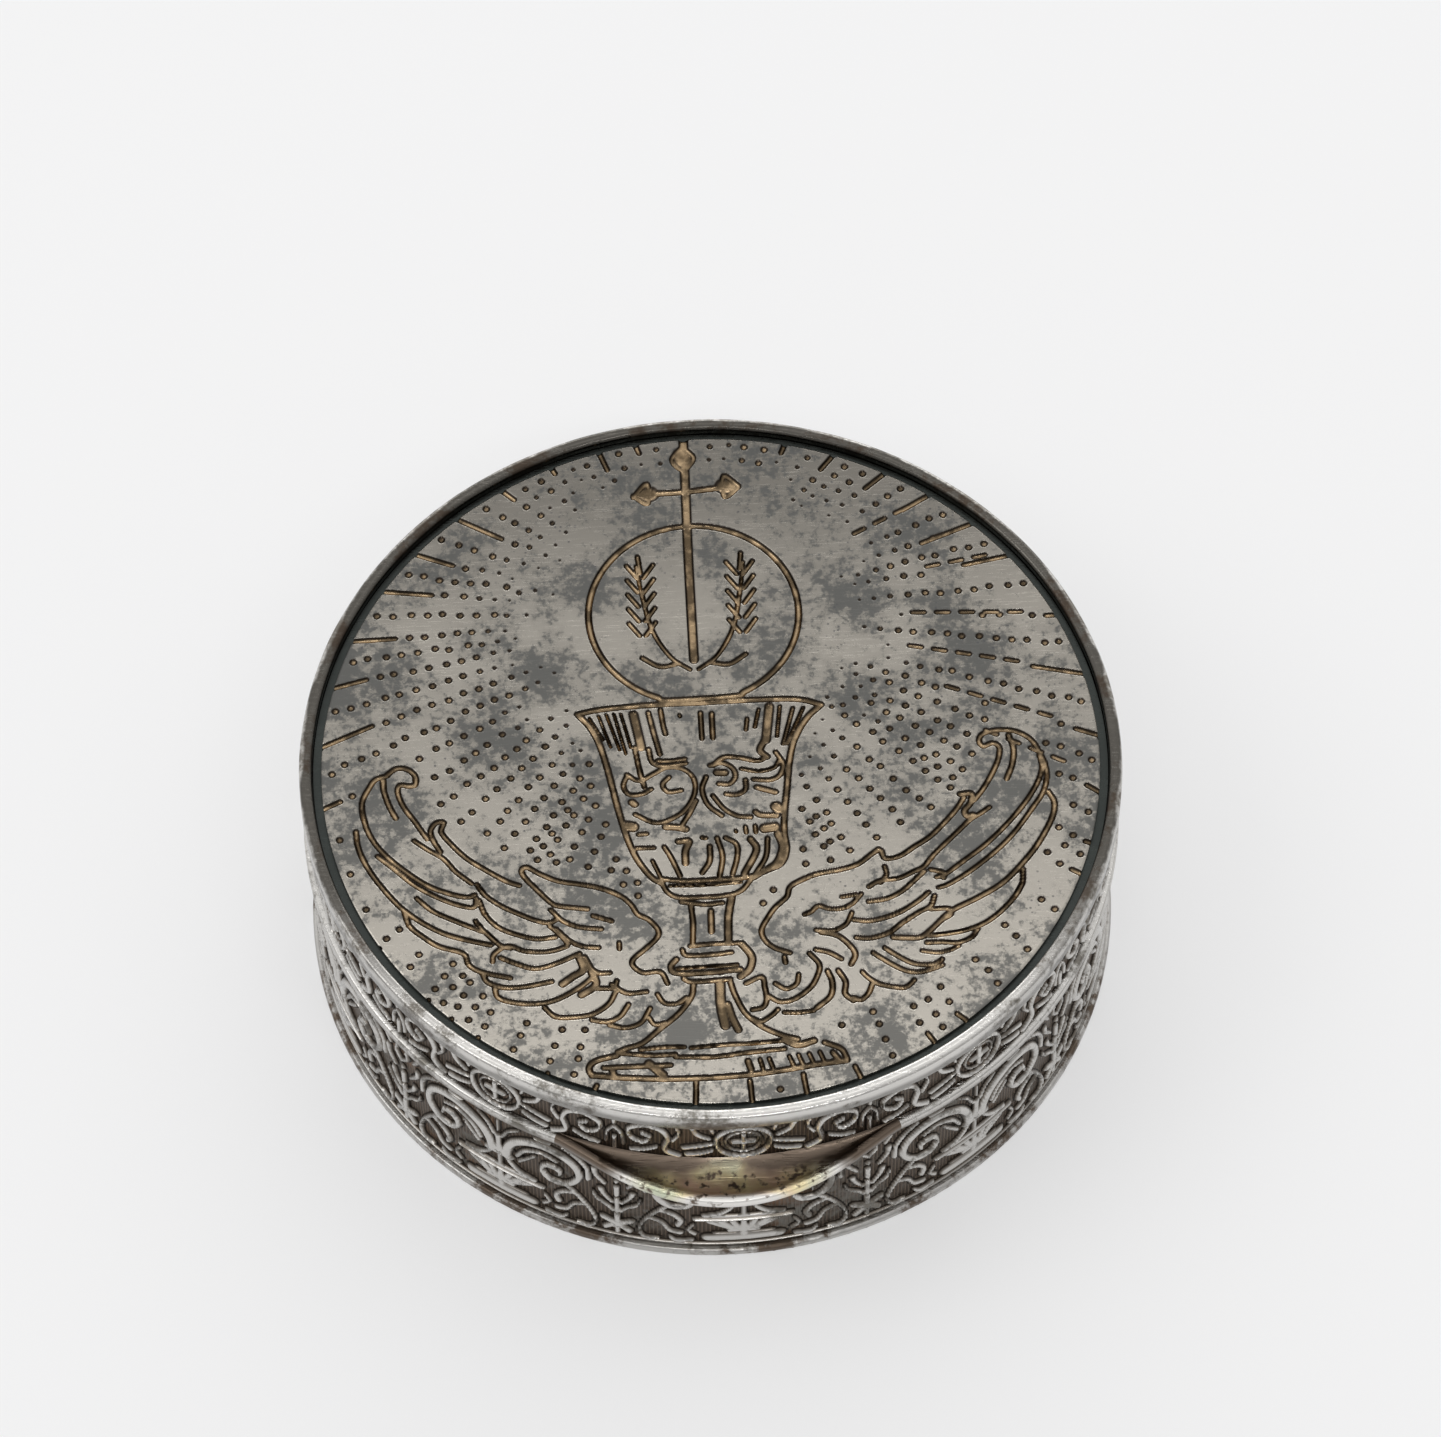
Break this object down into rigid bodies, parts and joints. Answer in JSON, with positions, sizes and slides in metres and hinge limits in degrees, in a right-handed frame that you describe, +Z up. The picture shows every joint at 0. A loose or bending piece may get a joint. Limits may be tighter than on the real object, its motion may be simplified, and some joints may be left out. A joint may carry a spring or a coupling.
{
  "type": "pyx",
  "caption": "Low round silver box with a hinged engraved lid, thumb lip, stamped scroll walls and a gilt inner cup.",
  "frame": {"origin": "centre of the base plate's underside, where the box rests", "axes": "+Z up through the lid, -Y to the thumb lip at the front, +Y to the hinge, +X to the right seen from the front"},
  "size_m": [0.052, 0.0567, 0.018],
  "materials": {
    "silver": "worn silver",
    "bright_silver": "polished silver, worn bright",
    "band_silver": "stamped silver with a dark brown ground",
    "engraved_silver": "engraved silver with grey tarnish",
    "lip_silver": "polished silver with a warm tarnish",
    "pin_silver": "drawn silver wire",
    "gilt": "gilt silver"
  },
  "bodies": {
    "box": {"base_plate": "silver", "body_band": "band_silver", "inner_cup": "gilt", "catch_nib": "gilt", "body_leaf": "silver", "body_knuckles": "silver", "hinge_pin": "pin_silver"},
    "lid": {"lid_band": "band_silver", "lid_plate": "engraved_silver", "lid_rim_wire": "bright_silver", "lid_lining": "gilt", "lid_mouth_wire": "bright_silver", "thumb_lip": "lip_silver", "lid_leaf": "silver", "lid_knuckles": "silver"}
  },
  "joints": [
    {"name": "lid_hinge", "type": "hinge", "parent": "box", "child": "lid", "pos_m": [0, 0.02712, 0.0113], "axis": [-1, 0, 0], "range_deg": [0, 110]}
  ]
}
